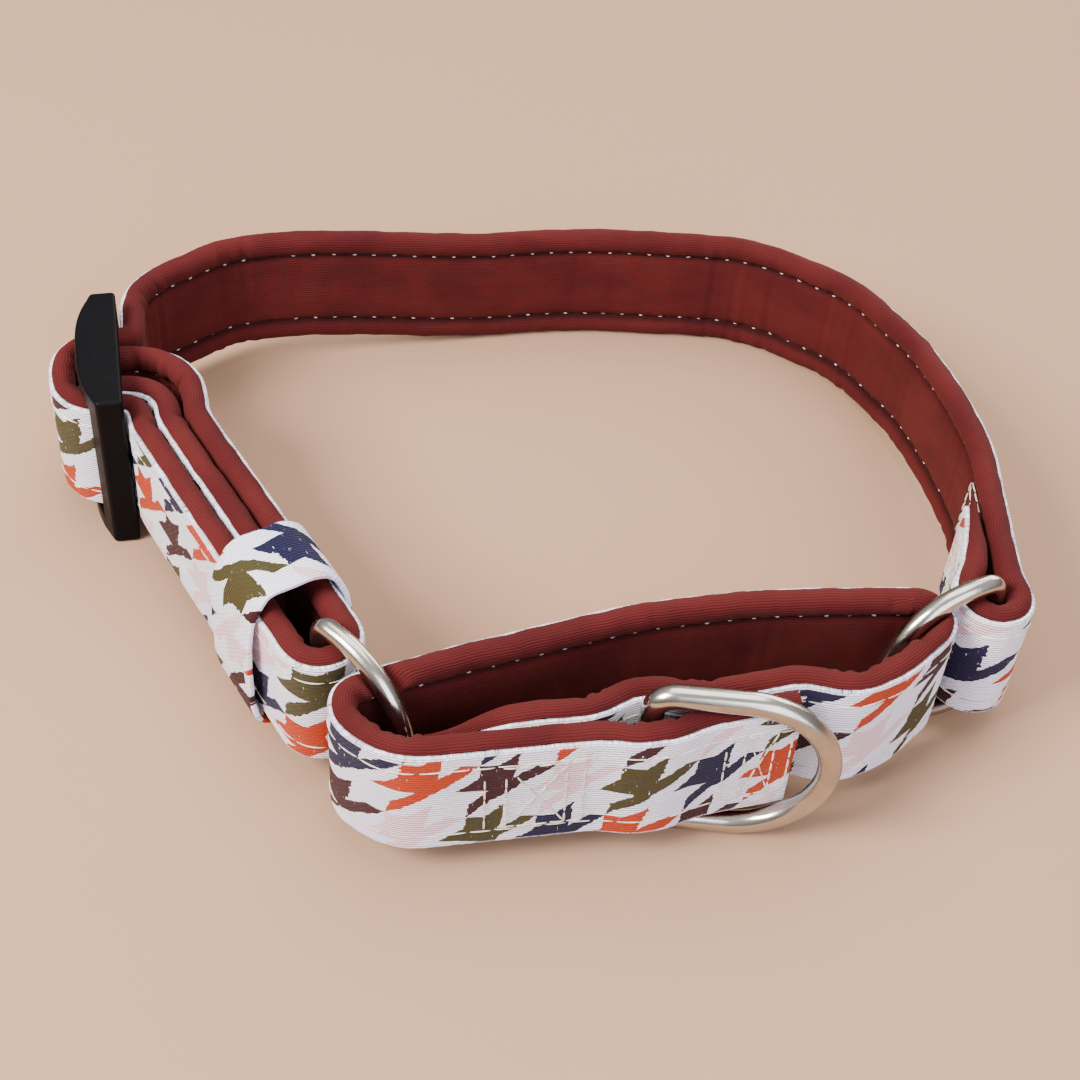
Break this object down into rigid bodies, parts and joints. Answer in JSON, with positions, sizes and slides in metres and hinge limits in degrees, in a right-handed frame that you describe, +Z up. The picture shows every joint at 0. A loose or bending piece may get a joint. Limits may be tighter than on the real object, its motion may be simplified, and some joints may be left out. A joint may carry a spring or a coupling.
{
  "type": "martingale collar",
  "caption": "Padded martingale dog collar: printed webbing on a soft lining, slider adjuster, side rings, and a control loop with a leash ring.",
  "frame": {"origin": "centre of the collar's outline, on the surface that it stands on", "axes": "+Z up across the webbing's width, -Y towards the control loop and the leash ring, -X towards the slider"},
  "size_m": [0.1794, 0.1521, 0.0366],
  "materials": {
    "printed_webbing": "woven polyester webbing with a printed check",
    "lining": "soft padded knit, maroon",
    "thread": "sewing thread, cream",
    "ring_steel": "satin polished welded wire",
    "slider_plastic": "satin black moulded plastic"
  },
  "bodies": {
    "main_strap": {"strap_webbing": "printed_webbing", "strap_lining": "lining", "strap_seams": "thread", "adjuster_webbing": "printed_webbing", "adjuster_lining": "lining", "adjuster_seams": "thread", "adjuster_stitching": "thread"},
    "slider": {"slider": "slider_plastic"},
    "keeper": {"keeper": "printed_webbing"},
    "left_ring": {"left_ring": "ring_steel"},
    "right_end": {"end_webbing": "printed_webbing", "end_lining": "lining", "end_seams": "thread", "end_stitching": "thread"},
    "right_ring": {"right_ring": "ring_steel"},
    "control_loop": {"loop_webbing": "printed_webbing", "loop_lining": "lining", "loop_seams": "thread", "loop_stitching_left": "thread", "loop_stitching_right": "thread"},
    "leash_ring": {"leash_ring": "ring_steel"}
  },
  "joints": [
    {"name": "slider_adjust", "type": "slide", "parent": "main_strap", "child": "slider", "axis": [0.342, -0.9397, 0], "range_m": [-0.01, 0.01], "deforming": ["adjuster_webbing", "adjuster_lining", "adjuster_seams", "adjuster_stitching"]},
    {"name": "keeper_slide", "type": "slide", "parent": "main_strap", "child": "keeper", "axis": [0.342, -0.9397, 0], "range_m": [-0.02, 0.003]},
    {"name": "left_ring_swivel", "type": "hinge", "parent": "main_strap", "child": "left_ring", "pos_m": [-0.04582, -0.04059, 0.0183], "axis": [0, 0, 1], "range_deg": [-12, 12]},
    {"name": "cinch", "type": "slide", "parent": "main_strap", "child": "right_end", "axis": [-1, 0, 0], "range_m": [0, 0.03], "deforming": ["loop_webbing", "loop_lining", "loop_seams"]},
    {"name": "right_ring_swivel", "type": "hinge", "parent": "right_end", "child": "right_ring", "pos_m": [0.074, -0.0487, 0.0183], "axis": [0, 0, 1], "range_deg": [-12, 10]},
    {"name": "loop_follow", "type": "slide", "parent": "main_strap", "child": "control_loop", "axis": [-1, 0, 0], "range_m": [0, 0.0141]},
    {"name": "leash_ring_swing", "type": "hinge", "parent": "control_loop", "child": "leash_ring", "pos_m": [0.0065, -0.065, 0.0183], "axis": [0, 0, -1], "range_deg": [0, 148]}
  ],
  "couplings": [
    {"joint": "loop_follow", "follows": "cinch", "ratio": 0.47}
  ]
}
